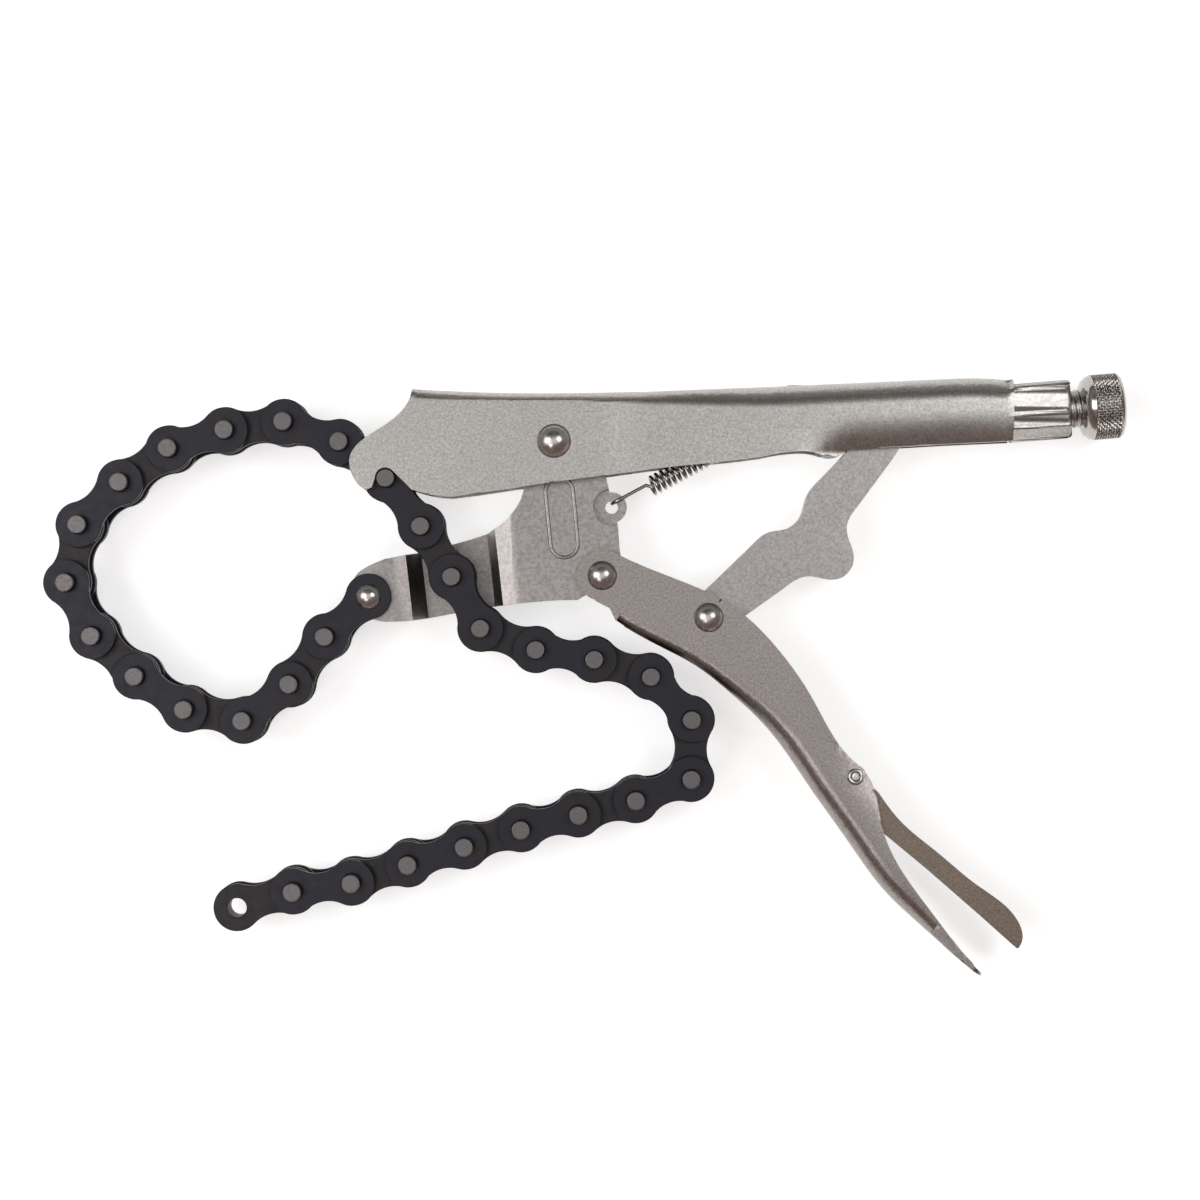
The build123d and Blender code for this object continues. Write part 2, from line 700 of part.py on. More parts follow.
with BuildPart() as lower_handle:
    with BuildSketch(Plane.XY.offset(-lower_half)):
        with BuildLine():
            Spline(*lower_inner)
            Spline(*lower_rear)
            Line(lower_rear[-1], lower_outer[0])
            Spline(*lower_outer)
            Polyline(*fork_step)
            Line(fork_step[-1], lower_inner[0])
        make_face()
        with Locations(lower_pivot):
            Circle(lower_end_dia / 2)
    extrude(amount=2 * lower_half)
    inside_edge = shifted(lower_inner, lower_t + lower_gap)
    inside_rear = shifted(lower_rear, lower_t + lower_gap)
    inside_web = shifted(lower_outer, -lower_t)
    with BuildSketch(Plane.XY.offset(-lower_gap / 2)):
        with BuildLine():
            Polyline(
                (lower_pivot[0] - lower_end_dia, lower_pivot[1] + lower_end_dia),
                *inside_edge[1:],
                *inside_rear[1:],
                *inside_web[1:],
                (lower_pivot[0] + lower_end_dia / 2, lower_pivot[1] - lower_end_dia),
                (lower_pivot[0] - lower_end_dia, lower_pivot[1] - lower_end_dia),
                close=True,
            )
        make_face()
    extrude(amount=lower_gap, mode=Mode.SUBTRACT)
    with BuildSketch(Plane.XY.offset(-lower_half)):
        with Locations(lower_pivot, toggle_pivot):
            Circle(handle_rivet_dia / 2 + seat_fit)
        with Locations(lever_pivot):
            Circle(lever_pin_dia / 2 + seat_fit)
    extrude(amount=2 * lower_half, mode=Mode.SUBTRACT)
    for side in (1, -1):
        add(fold_cut(side), mode=Mode.SUBTRACT)
    tip_way = (Vector(*lower_outer[0]) - Vector(*lower_outer[1])).normalized()
    tip_plane = Plane(origin=lower_outer[0], x_dir=tip_way, z_dir=(tip_way.Y, -tip_way.X, 0))
    with BuildSketch(tip_plane.offset(-2 * tip_round)):
        Rectangle(2 * tip_round, 2 * lower_half + tip_round)
        with Locations((-lower_half, 0)):
            RectangleRounded(2 * lower_half, 2 * lower_half, tip_round, mode=Mode.SUBTRACT)
    extrude(amount=4 * tip_round, mode=Mode.SUBTRACT)
save("lower_handle", lower_handle.part)

# Toggle link: a thick stamped plate from the lower handle to the screw's tip
with BuildPart() as toggle_link:
    front = along(toggle_pivot, toggle_front_shares, toggle_reach, toggle_rise)
    back_edge = along(toggle_pivot, toggle_back_shares, toggle_reach, toggle_rise)
    with BuildSketch(Plane.XY.offset(-toggle_t / 2)):
        with BuildLine():
            Polyline(*front, *back_edge, close=True)
        make_face()
        with Locations(toggle_pivot):
            Circle(toggle_end_dia / 2)
        with Locations(toggle_tip):
            Circle(toggle_tip_dia / 2)
        with Locations(toggle_pivot):
            Circle(handle_rivet_dia / 2 + run_fit, mode=Mode.SUBTRACT)
    extrude(amount=toggle_t)
save("toggle_link", toggle_link.part)

# Release lever: a folded strip in the lower handle's mouth, open towards the handle
with BuildPart() as release_lever:
    lever_back = along(lever_pivot, lever_back_shares, lever_reach, lever_drop)
    lever_face = along(lever_pivot, lever_face_shares, lever_reach, lever_drop)
    with BuildSketch(Plane.XY.offset(-lever_width / 2)):
        with BuildLine():
            Spline(*lever_back)
            Line(lever_back[-1], lever_face[0])
            Spline(*lever_face)
            Line(lever_face[-1], lever_back[0])
        make_face()
        with Locations(lever_pivot):
            Circle(lever_eye_dia / 2)
    extrude(amount=lever_width)
    inside_back = shifted(lever_back, -lever_t)
    with BuildSketch(Plane.XY.offset(-lever_width / 2 + lever_t)):
        with BuildLine():
            Polyline(*inside_back[2:-1], *shifted(lever_face, lever_t)[:-1], close=True)
        make_face()
    extrude(amount=lever_width - 2 * lever_t, mode=Mode.SUBTRACT)
    with BuildSketch(Plane.XY.offset(-lever_width / 2)):
        with Locations(lever_pivot):
            Circle(lever_pin_dia / 2 + run_fit)
    extrude(amount=lever_width, mode=Mode.SUBTRACT)
save("release_lever", release_lever.part)

# Return spring: one wire from the jaw's ear to the tab inside the upper handle
coil_radius = (coil_dia - wire_dia) / 2
spring_way = (spring_tab[0] - ear_point[0], spring_tab[1] - ear_point[1])
spring_long = math.hypot(*spring_way)
spring_plane = Plane(
    origin=(ear_point[0], ear_point[1], 0), x_dir=(spring_way[0], spring_way[1], 0), z_dir=(0, 0, 1)
)
coil_long = spring_long - coil_start - coil_end
coil_pitch = coil_long / coil_turns
lead = math.atan2(coil_pitch, 2 * math.pi * coil_radius)
wire_offset = wire_bend * (1 - math.cos(math.pi / 2 - lead))
wire_reach = wire_bend * math.sin(math.pi / 2 - lead)
ear_rim = ear_hole_dia / 2 + (ear_dia - ear_hole_dia) / 4
tab_rim = spring_long - ear_hole_dia / 2 - (spring_tab_dia - ear_hole_dia) / 4


def spot(x, y, z):
    """A place in the spring's own frame, with x along its axis from the ear."""
    return spring_plane.from_local_coords(Vector(x, y, z))


def way(x, y, z):
    """A direction in the spring's own frame."""
    return spot(x, y, z) - spot(0, 0, 0)


def coil_spot(turns):
    """A place on the coil after a number of turns."""
    turn = 2 * math.pi * turns
    return spot(coil_start + coil_pitch * turns, -coil_radius * math.sin(turn), coil_radius * math.cos(turn))


def coil_way(turns):
    """The wire's direction on the coil after a number of turns."""
    turn = 2 * math.pi * turns
    return way(
        math.sin(lead), -math.cos(lead) * math.cos(turn), -math.cos(lead) * math.sin(turn)
    )


def biarc(start, start_way, end, end_way):
    """Two arcs that join two places and keep the wire's direction at both."""
    across, ways = end - start, start_way + end_way
    square = 4 - ways.dot(ways)
    reach = (-across.dot(ways) + math.sqrt(across.dot(ways) ** 2 + square * across.dot(across))) / square
    middle = (start + start_way * reach + end - end_way * reach) * 0.5
    TangentArc(start, middle, tangent=start_way)
    TangentArc(middle, end, tangent=(end - end_way * reach) - (start + start_way * reach))


with BuildPart() as return_spring:
    with BuildLine() as wire_path:
        first = spot(ear_rim + coil_radius * math.sin(math.pi / 3), wire_offset, -coil_radius / 2)
        ThreePointArc(first, spot(ear_rim, wire_offset, -coil_radius), spot(ear_rim - coil_radius, wire_offset, 0))
        TangentArc(spot(ear_rim - coil_radius, wire_offset, 0), spot(ear_rim, wire_offset, coil_radius), tangent=way(0, 0, 1))
        Line(spot(ear_rim, wire_offset, coil_radius), spot(coil_start - wire_reach, wire_offset, coil_radius))
        TangentArc(spot(coil_start - wire_reach, wire_offset, coil_radius), coil_spot(0), tangent=way(1, 0, 0))
        for half in range(2 * coil_turns):
            biarc(coil_spot(half / 2), coil_way(half / 2), coil_spot(half / 2 + 0.5), coil_way(half / 2 + 0.5))
        coil_stop = coil_start + coil_long
        TangentArc(coil_spot(coil_turns), spot(coil_stop + wire_reach, -wire_offset, coil_radius), tangent=coil_way(coil_turns))
        Line(spot(coil_stop + wire_reach, -wire_offset, coil_radius), spot(tab_rim, -wire_offset, coil_radius))
        TangentArc(spot(tab_rim, -wire_offset, coil_radius), spot(tab_rim + coil_radius, -wire_offset, 0), tangent=way(1, 0, 0))
        TangentArc(spot(tab_rim + coil_radius, -wire_offset, 0), spot(tab_rim - coil_radius * math.sin(math.pi / 3), -wire_offset, -coil_radius / 2), tangent=way(0, 0, -1))
    with BuildSketch(Plane(origin=wire_path.line @ 0, z_dir=wire_path.line % 0)):
        RegularPolygon(wire_dia / 2, wire_sides)
    # The sweep's own clean-up can crash on so many short arcs, and it changes nothing here.
    sweep(path=wire_path.line, clean=False)
save("return_spring", return_spring.part)

# The wire's least gap to itself, measured on points half a turn of wire or more apart
wire_line = wire_path.wires()[0]
point_count = gap_count * (coil_turns + 4)
wire_points = [wire_line @ (i / point_count) for i in range(point_count + 1)]
apart = math.ceil(math.pi * coil_radius / (wire_line.length / point_count))
least_gap = min(
    (wire_points[i] - wire_points[j]).length - wire_dia
    for i in range(len(wire_points))
    for j in range(i + apart, min(i + 4 * apart, len(wire_points)))
)
print("least gap of the spring's wire to itself:", round(least_gap, 2))
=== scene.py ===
"""The locking chain clamp's looks: rounded edges, fuller bends, knurl, thread, spring, metals and studio."""

import math

import bmesh
import bpy
import numpy as np
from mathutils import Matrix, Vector
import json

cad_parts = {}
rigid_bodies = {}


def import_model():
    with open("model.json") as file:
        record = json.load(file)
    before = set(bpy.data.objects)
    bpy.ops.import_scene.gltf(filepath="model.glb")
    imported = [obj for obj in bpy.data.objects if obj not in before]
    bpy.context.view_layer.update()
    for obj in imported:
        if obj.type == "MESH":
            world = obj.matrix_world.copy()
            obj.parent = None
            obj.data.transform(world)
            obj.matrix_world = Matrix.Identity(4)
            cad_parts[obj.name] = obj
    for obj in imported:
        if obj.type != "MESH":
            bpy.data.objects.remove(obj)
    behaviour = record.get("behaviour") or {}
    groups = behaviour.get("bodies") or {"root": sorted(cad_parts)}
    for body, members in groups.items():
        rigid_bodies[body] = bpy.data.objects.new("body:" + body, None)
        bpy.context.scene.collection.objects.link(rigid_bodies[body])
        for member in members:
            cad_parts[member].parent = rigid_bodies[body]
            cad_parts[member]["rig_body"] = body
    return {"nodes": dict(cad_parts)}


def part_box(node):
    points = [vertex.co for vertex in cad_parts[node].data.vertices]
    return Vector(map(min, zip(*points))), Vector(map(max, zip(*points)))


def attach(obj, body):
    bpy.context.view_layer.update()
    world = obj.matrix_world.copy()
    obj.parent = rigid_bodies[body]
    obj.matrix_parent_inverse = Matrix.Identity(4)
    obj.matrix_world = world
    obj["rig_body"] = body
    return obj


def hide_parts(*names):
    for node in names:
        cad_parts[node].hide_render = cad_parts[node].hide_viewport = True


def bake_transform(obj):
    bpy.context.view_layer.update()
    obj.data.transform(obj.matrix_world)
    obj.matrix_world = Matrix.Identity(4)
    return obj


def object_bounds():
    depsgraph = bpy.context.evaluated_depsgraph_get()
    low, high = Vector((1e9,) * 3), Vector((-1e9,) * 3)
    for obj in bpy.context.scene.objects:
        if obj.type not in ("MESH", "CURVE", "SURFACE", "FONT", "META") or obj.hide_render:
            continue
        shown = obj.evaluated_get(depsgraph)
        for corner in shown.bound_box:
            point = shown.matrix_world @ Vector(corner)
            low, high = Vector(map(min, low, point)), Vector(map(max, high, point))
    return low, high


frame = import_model()
cad_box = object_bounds()
nodes = frame["nodes"]
scene = bpy.context.scene
MM = 0.001

# The photograph: its scale at the height of the tool's upper faces, and where the model's origin lies in it
PHOTO_SIDE = 1200
PIXELS_PER_MM = 3.74
ORIGIN_PIXEL = (385.5, 478.0)
PICTURE_HEIGHT = 7.0 * MM
CAMERA_HEIGHT = 680 * MM
SENSOR = 36.0

# Rounding, lengths in millimetres and angles in degrees: a wall lower than TALL_SHARE bevels is a step, an
# edge without a wall counts as one of NO_WALL, and shading keeps the angles over a crease
WELD = 0.002
FLAT_ANGLE = 0.8
SHARP_ANGLE = 30
STEP_WIDTH = 0.13
TALL_SHARE = 2.2
NO_WALL = 9
WALL_TILT = 0.7
PLATE_CREASE = 38
FOLD_CREASE = 32
KNOB_CREASE = 50
THREAD_CREASE = 60

# Folding, in millimetres: how near a place is to a stepped wall to be on it, how far under the sheet a place
# still belongs to the web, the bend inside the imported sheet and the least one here, and what is welded after
STEP_NEAR = 0.1
WEB_NEAR = 0.6
INNER_BEND = 0.35
LEAST_BEND = 0.4
MIDDLE = 0.5
FOLD_WELD = 0.01

# Upper handle, in millimetres: its spine from the rear to the front, its section, the press of its rear
# walls, and their lean: the most, the depth where it starts, the depth that it takes and its limit
SPINE = [
    (168.0, 26.6), (158.8, 27.19), (149.9, 27.0), (123.1, 25.79), (99.3, 24.68), (76.3, 23.63), (7.06, 23.95),
]
UPPER_SHEET = 2.1
UPPER_BEND = 2.6
PRESS_START = 117
PRESS_FIRST = 0.06
PRESS_SLOPE = 0.228
PRESS_MOST = 1.2
PRESS_FOOT = 15.2
PRESS_RISE = 6
UPPER_LEAN = (2.3, 8.6, 9.0, 1.1)

# Lower handle, in millimetres: its outer edge from the fork to the tip, its section and its walls' lean
LOWER_EDGE = [
    (61.6, -38.3), (72.2, -44.5), (83.3, -50.5), (92.6, -57.7), (101.2, -65.8), (108.0, -74.3),
    (114.9, -84.5), (123.4, -96.5), (133.8, -110.7), (145.9, -122.2), (153.6, -129.1), (159.6, -133.7),
]
LOWER_WAY = math.radians(-46)
LOWER_HALF = 6.0
LOWER_SHEET = 2.0
LOWER_BEND = 3.0
LOWER_LEAN = (0.85, 5.5, 8.0, 1.2)

# Release lever's head, in millimetres
LEVER_PIN = (125.9, -79.9)
HEAD_REACH = 6.5
HEAD_RADIUS = 2.9

# How far the toggle link's outline is eased to either side, in millimetres
EASE = 2.3

# The raised rim of the jaw's panel, in millimetres: a bead that follows the panel's outline on its ledge
PANEL_TOP, PANEL_FOOT = (46.40, -3.46), (47.75, -17.52)
PANEL_RADIUS = 3.7
LEDGE = 3.5
BEAD_WIDE, BEAD_HIGH = 0.5, 0.3
BEAD_STEPS = 24
BEAD_POINTS = 9

# Knob and screw, in millimetres, along the screw's axis from the middle of its socket
SCREW_MIDDLE = (176.9, 18.3)
SCREW_ANGLE = math.radians(4.5)
SCREW_RADIUS = 5.3
SCREW_END = 9.55
CORE = 0.3
THREAD_PITCH = 1.5
THREAD_DEPTH = 0.576
THREAD_ENTRY = 1.2
THREAD_TIP = 0.9
THREAD_POINTS = 64
THREAD_STEPS = 8
KNOB_START = 11.95
KNOB_END = 21.15
KNOB_RADIUS = 8.86
KNURL_DEPTH = 0.62
KNURL_AROUND = 38
KNURL_STEP = 1.35
KNURL_SHARP = 1.25
KNURL_MARGIN = 1.1
KNURL_FADE = 0.35
KNURL_ROWS = 56
KNOB_POINTS = 304

# The knob's profile before and behind its knurled band, as stations and radii
KNOB_FRONT = (
    (SCREW_END, CORE), (SCREW_END, SCREW_RADIUS - 0.4), (SCREW_END + 0.25, SCREW_RADIUS),
    (SCREW_END + 0.7, SCREW_RADIUS + 0.35), (SCREW_END + 1.0, SCREW_RADIUS + 1.4),
    (SCREW_END + 1.3, SCREW_RADIUS + 2.1), (SCREW_END + 1.9, KNOB_RADIUS - 1.0),
    (KNOB_START, KNOB_RADIUS - 0.45), (KNOB_START + 0.8, KNOB_RADIUS - 0.2),
)
KNOB_REAR = (
    (KNOB_END - 0.8, KNOB_RADIUS - 0.12), (KNOB_END - 0.35, KNOB_RADIUS - 0.5),
    (KNOB_END - 0.08, KNOB_RADIUS - 1.1), (KNOB_END, KNOB_RADIUS - 1.8), (KNOB_END, CORE),
)

# Return spring, in millimetres
SPRING_EAR = (60.494, -7.68)
SPRING_TAB = (110.88, 19.305)
EAR_RIM = 2.9
TAB_RIM = 2.35
HOOK_OFF = 0.85
WIRE_RADIUS = 0.475
WIRE_POINTS = 10
COIL_RADIUS = 2.375
COIL_TURNS = 26
COIL_POINTS = 24
COIL_START = 11.9
COIL_END = 4.6

# Studio, in metres: the paper under the tool, and the light that it sends back to the camera near and far
PAPER_REACH = 14.0
PAPER_GAP = 0.2 * MM
PAPER_WHITE = 0.86
PAPER_NEAR, PAPER_FAR = 0.35, 1.1
GLOW_NEAR, GLOW_FAR = 0.60, 1.0

# What the metal mirrors, by height: a grey ceiling over a dark room, warmer on the near side
ROOM = {
    "near": ((0.0, (0.36, 0.235, 0.20)), (0.35, (0.30, 0.195, 0.165)), (0.70, (0.20, 0.13, 0.112)),
             (0.90, (0.15, 0.115, 0.102)), (1.0, (0.17, 0.15, 0.14))),
    "far": ((0.0, (0.08, 0.075, 0.07)), (0.35, (0.04, 0.038, 0.036)), (0.70, (0.045, 0.043, 0.041)),
            (0.90, (0.13, 0.126, 0.122)), (1.0, (0.32, 0.31, 0.30))),
}
ROOM_BLEND = 0.25


def bare_tree(owner, output):
    """The emptied node tree of a material or a world, and a new output node in it."""
    owner.use_nodes = True
    tree = owner.node_tree
    tree.nodes.clear()
    return tree, tree.nodes.new(output)


def map_range(tree, value, low, high, to_low, to_high):
    """A value of a node tree brought from one span to another."""
    n = tree.nodes.new("ShaderNodeMapRange")
    for key, number in zip(("From Min", "From Max", "To Min", "To Max"), (low, high, to_low, to_high)):
        n.inputs[key].default_value = number
    tree.links.new(value, n.inputs["Value"])
    return n.outputs["Result"]


def two_values(tree, operation, first, second):
    """The result of a Math node on two values of a node tree."""
    n = tree.nodes.new("ShaderNodeMath")
    n.operation = operation
    tree.links.new(first, n.inputs[0])
    tree.links.new(second, n.inputs[1])
    return n.outputs[0]


def tinted(colour, share):
    """A colour made lighter or darker."""
    return tuple(c * share for c in colour)


def shader(name):
    """A new material with a bare Principled shader, and short ways to add and join nodes."""
    made = bpy.data.materials.new(name)
    tree, out = bare_tree(made, "ShaderNodeOutputMaterial")
    main = tree.nodes.new("ShaderNodeBsdfPrincipled")
    tree.links.new(main.outputs[0], out.inputs[0])
    where = tree.nodes.new("ShaderNodeTexCoord").outputs["Object"]

    def noise(size, detail=3.0, rough=0.55):
        n = tree.nodes.new("ShaderNodeTexNoise")
        n.inputs["Scale"].default_value = 1 / (size * MM)
        n.inputs["Detail"].default_value = detail
        n.inputs["Roughness"].default_value = rough
        tree.links.new(where, n.inputs["Vector"])
        return n.outputs["Fac"]

    def spread(value, low, high, to_low, to_high):
        return map_range(tree, value, low, high, to_low, to_high)

    def mixed(share, first, second):
        n = tree.nodes.new("ShaderNodeMix")
        n.data_type = "RGBA"
        for socket, value in ((n.inputs["Factor"], share), (n.inputs["A"], first), (n.inputs["B"], second)):
            if isinstance(value, bpy.types.NodeSocket):
                tree.links.new(value, socket)
            else:
                socket.default_value = (*value, 1.0)
        return n.outputs["Result"]

    def bump(height, depth, strength=1.0, under=None):
        n = tree.nodes.new("ShaderNodeBump")
        n.inputs["Distance"].default_value = depth * MM
        n.inputs["Strength"].default_value = strength
        tree.links.new(height, n.inputs["Height"])
        if under is not None:
            tree.links.new(under, n.inputs["Normal"])
        return n.outputs["Normal"]

    def join(value, key):
        tree.links.new(value, main.inputs[key])

    return made, main, noise, spread, mixed, bump, join


def blasted_nickel(name, colour, rough, grain=0.6, depth=0.02):
    """Satin nickel plate over a shot-blasted surface: fine dimples, soft clouds and a few small pits."""
    made, main, noise, spread, mixed, bump, join = shader(name)
    main.inputs["Metallic"].default_value = 1.0
    grains = noise(grain, 4.0, 0.68)
    clouds = noise(11.0, 2.0)
    pits = spread(noise(0.8, 1.0), 0.79, 0.84, 0.0, 1.0)
    tone = mixed(spread(grains, 0.36, 0.64, 0.0, 1.0), tinted(colour, 0.76), tinted(colour, 1.22))
    tone = mixed(spread(clouds, 0.35, 0.75, 0.0, 0.18), tone, tinted(colour, 0.78))
    tone = mixed(pits, tone, tinted(colour, 0.62))
    join(tone, "Base Color")
    join(spread(noise(1.7, 3.0), 0.3, 0.7, rough - 0.03, rough + 0.04), "Roughness")
    pressed = bump(grains, depth)
    pressed = bump(noise(4.5, 1.0), 0.03, 0.5, pressed)
    join(bump(pits, -0.06, 1.0, pressed), "Normal")
    return made


def bright_steel(name, colour, rough, size=0.5):
    """Polished or turned steel with faint marks of handling."""
    made, main, noise, spread, mixed, bump, join = shader(name)
    main.inputs["Metallic"].default_value = 1.0
    marks = noise(size, 4.0, 0.6)
    join(mixed(spread(marks, 0.35, 0.7, 0.0, 1.0), tinted(colour, 0.86), colour), "Base Color")
    join(spread(noise(size * 3, 3.0), 0.3, 0.7, rough * 0.8, rough * 1.3), "Roughness")
    join(bump(marks, 0.006), "Normal")
    return made


def oxide(name, colour, warm, rough):
    """Black oxide on stamped plate: blue black with brown patches and a fine matt grain."""
    made, main, noise, spread, mixed, bump, join = shader(name)
    main.inputs["Metallic"].default_value = 0.35
    main.inputs["Specular IOR Level"].default_value = 0.42
    patches = spread(noise(7.0, 3.0), 0.45, 0.7, 0.0, 0.75)
    tone = mixed(patches, colour, warm)
    tone = mixed(spread(noise(0.5, 2.0), 0.35, 0.7, 0.0, 0.35), tone, tinted(colour, 1.6))
    rubbed = spread(noise(0.9, 5.0, 0.7), 0.7, 0.78, 0.0, 0.22)
    join(mixed(rubbed, tone, (0.16, 0.15, 0.15)), "Base Color")
    join(spread(noise(2.4, 4.0), 0.3, 0.7, rough - 0.06, rough + 0.1), "Roughness")
    join(bump(noise(0.35, 2.0), 0.018), "Normal")
    return made


nickel = blasted_nickel("blasted_nickel", (0.47, 0.452, 0.432), 0.34)
# A darker copy of the nickel for the lower handle: painted shade
shaded = blasted_nickel("shaded_nickel", (0.33, 0.298, 0.282), 0.34)
# A darker, browner copy of the nickel for the release lever: painted shade
shade_darkened = blasted_nickel("tarnished_nickel", (0.235, 0.192, 0.158), 0.36)
forged = blasted_nickel("forged_nickel", (0.36, 0.335, 0.325), 0.38, 0.85, 0.045)
stamped = blasted_nickel("stamped_nickel", (0.40, 0.376, 0.366), 0.38, 0.6, 0.02)
polished = bright_steel("polished_rivet", (0.60, 0.57, 0.55), 0.25)
knurled = bright_steel("knurled_nickel", (0.50, 0.475, 0.45), 0.16)
turned = bright_steel("turned_screw", (0.44, 0.42, 0.395), 0.28)
pinned = bright_steel("pin_steel", (0.175, 0.163, 0.162), 0.42, 0.3)
sprung = bright_steel("spring_wire", (0.48, 0.46, 0.44), 0.2)
blued = oxide("blued_plate", (0.016, 0.0155, 0.024), (0.022, 0.017, 0.016), 0.42)
oiled = oxide("oiled_plate", (0.020, 0.018, 0.021), (0.030, 0.022, 0.018), 0.46)


def body_of(node):
    """The body that a CAD node moves with."""
    return nodes[node]["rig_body"]


def dressed(name, mesh, material, body, slot, *replaced):
    """Makes an object of a mesh, on a body if one is given, in place of CAD nodes."""
    mesh.materials.clear()
    mesh.materials.append(material)
    piece = bpy.data.objects.new(name, mesh)
    scene.collection.objects.link(piece)
    if body:
        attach(piece, body)
    if replaced:
        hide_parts(*replaced)
    return piece


def smooth(piece, crease):
    """Smooth shading that keeps creases above an angle and leaves wide flats flat."""
    piece.data.shade_smooth()
    piece.data.set_sharp_from_angle(angle=math.radians(crease))
    weighted = piece.modifiers.new("flats", "WEIGHTED_NORMAL")
    weighted.keep_sharp = True


def welded(bm):
    """Joins a mesh's doubled points and clears the edges inside its flats."""
    bmesh.ops.remove_doubles(bm, verts=bm.verts, dist=WELD * MM)
    bmesh.ops.dissolve_limit(bm, angle_limit=math.radians(FLAT_ANGLE), verts=bm.verts, edges=bm.edges)


def wall_height(edge):
    """The height of the lower of the walls that meet at an edge."""
    walls = [f for f in edge.link_faces if abs(f.normal.z) < WALL_TILT]
    heights = [max(v.co.z for v in f.verts) - min(v.co.z for v in f.verts) for f in walls]
    return min(heights, default=NO_WALL * MM)


def rounded(bm, width, segments):
    """Rounds a mesh's sharp edges: those of tall walls by the width, those of shallow steps only finely."""
    welded(bm)
    for shallow, offset, count in ((False, width, segments), (True, STEP_WIDTH, 1)):
        edges = [
            e for e in bm.edges
            if e.is_manifold and e.calc_face_angle() >= math.radians(SHARP_ANGLE)
            and (wall_height(e) < TALL_SHARE * width * MM) == shallow
        ]
        bmesh.ops.bevel(
            bm, geom=edges, offset=min(offset, width) * MM, offset_type="OFFSET", segments=count,
            profile=0.5, affect="EDGES", clamp_overlap=True,
        )


def remade(bm, node, ending, material, slot, crease):
    """Turns a worked mesh into the piece that takes a CAD node's place."""
    mesh = bpy.data.meshes.new(node + ending)
    bm.to_mesh(mesh)
    bm.free()
    smooth(dressed(node + ending, mesh, material, body_of(node), slot, node), crease)


def softened(node, width, material, slot, segments=2, shaped=None):
    """A CAD node again with its sharp edges rounded, its mesh first shaped by a function if one is given."""
    bm = bmesh.new()
    bm.from_mesh(nodes[node].data)
    if shaped:
        shaped(bm)
    rounded(bm, width, segments)
    remade(bm, node, "_soft", material, slot, PLATE_CREASE)


def cut_grid(bm, cuts):
    """Cuts a mesh by rows of even planes: their direction, first and last place and gap, in millimetres."""
    for way, first, last, gap in cuts:
        for step in range(int((last - first) / gap) + 1):
            bmesh.ops.bisect_plane(
                bm, geom=bm.verts[:] + bm.edges[:] + bm.faces[:], dist=1e-7,
                plane_co=Vector(way) * (first + gap * step) * MM, plane_no=way,
            )


def ramp(value, places, levels):
    """A smooth value between levels at given places."""
    value = np.asarray(value, float)
    found = np.full(value.shape, float(levels[0]))
    for i in range(len(places) - 1):
        t = np.clip((value - places[i]) / (places[i + 1] - places[i]), 0, 1)
        found += (levels[i + 1] - levels[i]) * t * t * (3 - 2 * t)
    return found


def smooth_run(points, between):
    """A smooth run through points, worked out as joined cubic arcs."""
    points = np.asarray(points, float)
    padded = np.vstack([2 * points[0] - points[1], points, 2 * points[-1] - points[-2]])
    found = []
    for i in range(len(points) - 1):
        a, b, c, d = padded[i:i + 4]
        for t in np.linspace(0, 1, between, endpoint=False):
            found.append(0.5 * (2 * b + (c - a) * t + (2 * a - 5 * b + 4 * c - d) * t**2
                                + (3 * b - a - 3 * c + d) * t**3))
    found.append(points[-1])
    return np.array(found)


def along_edge(places, edge):
    """Each place's depth to the left of a run of edge points, its share of the run and the way inwards."""
    edge = np.asarray(edge, float)
    ways = edge[1:] - edge[:-1]
    lengths = np.linalg.norm(ways, axis=1)
    before = np.concatenate([[0], np.cumsum(lengths)])
    nearest = np.full(len(places), 1e9)
    depth, share, inward = np.zeros(len(places)), np.zeros(len(places)), np.zeros((len(places), 2))
    for start, way, length, passed in zip(edge, ways, lengths, before):
        t = np.clip((places - start) @ way / length**2, 0, 1)
        apart = places - (start + t[:, None] * way)
        away = np.linalg.norm(apart, axis=1)
        nearer = away < nearest
        left = np.array([-way[1], way[0]]) / length
        nearest[nearer] = away[nearer]
        depth[nearer] = away[nearer] * np.sign(apart[nearer] @ left)
        share[nearer] = (passed + t[nearer] * length) / before[-1]
        inward[nearer] = left
    return depth, share, inward


def bent(depth, out, half, old, new):
    """Moves places in a channel's section from a corner of one bend radius to one of a larger radius.

    Depth is measured from the web's face and out from the middle of the thickness. It returns the new pair
    and the places' distance inside the face.
    """
    new = np.maximum(new, old + 1e-3)
    x, y = out - (half - old), old - depth
    turn = np.clip(np.arctan2(x, y), 0, math.pi / 2)
    core, over, side = (x <= 0) & (y <= 0), (x <= 0) & (y > 0), (y <= 0) & (x > 0)
    beside = (new - old) + old * math.pi / 2 + depth - old
    run = np.where(over, out - (half - new), np.where(side, beside, (new - old) + old * turn))
    inset = np.where(over, depth, np.where(side, half - out, old - np.hypot(x, y)))
    inset = np.where(core, np.minimum(depth, half - out), inset)
    whole = 2 * (new - old) + old * math.pi / 2
    angle = run / whole * math.pi / 2
    moved = (run > 0) & (run < whole) & ~core
    new_depth = np.where(moved, new - (new - inset) * np.cos(angle), depth)
    new_out = np.where(moved, half - new + (new - inset) * np.sin(angle), out)
    return new_depth, new_out, inset


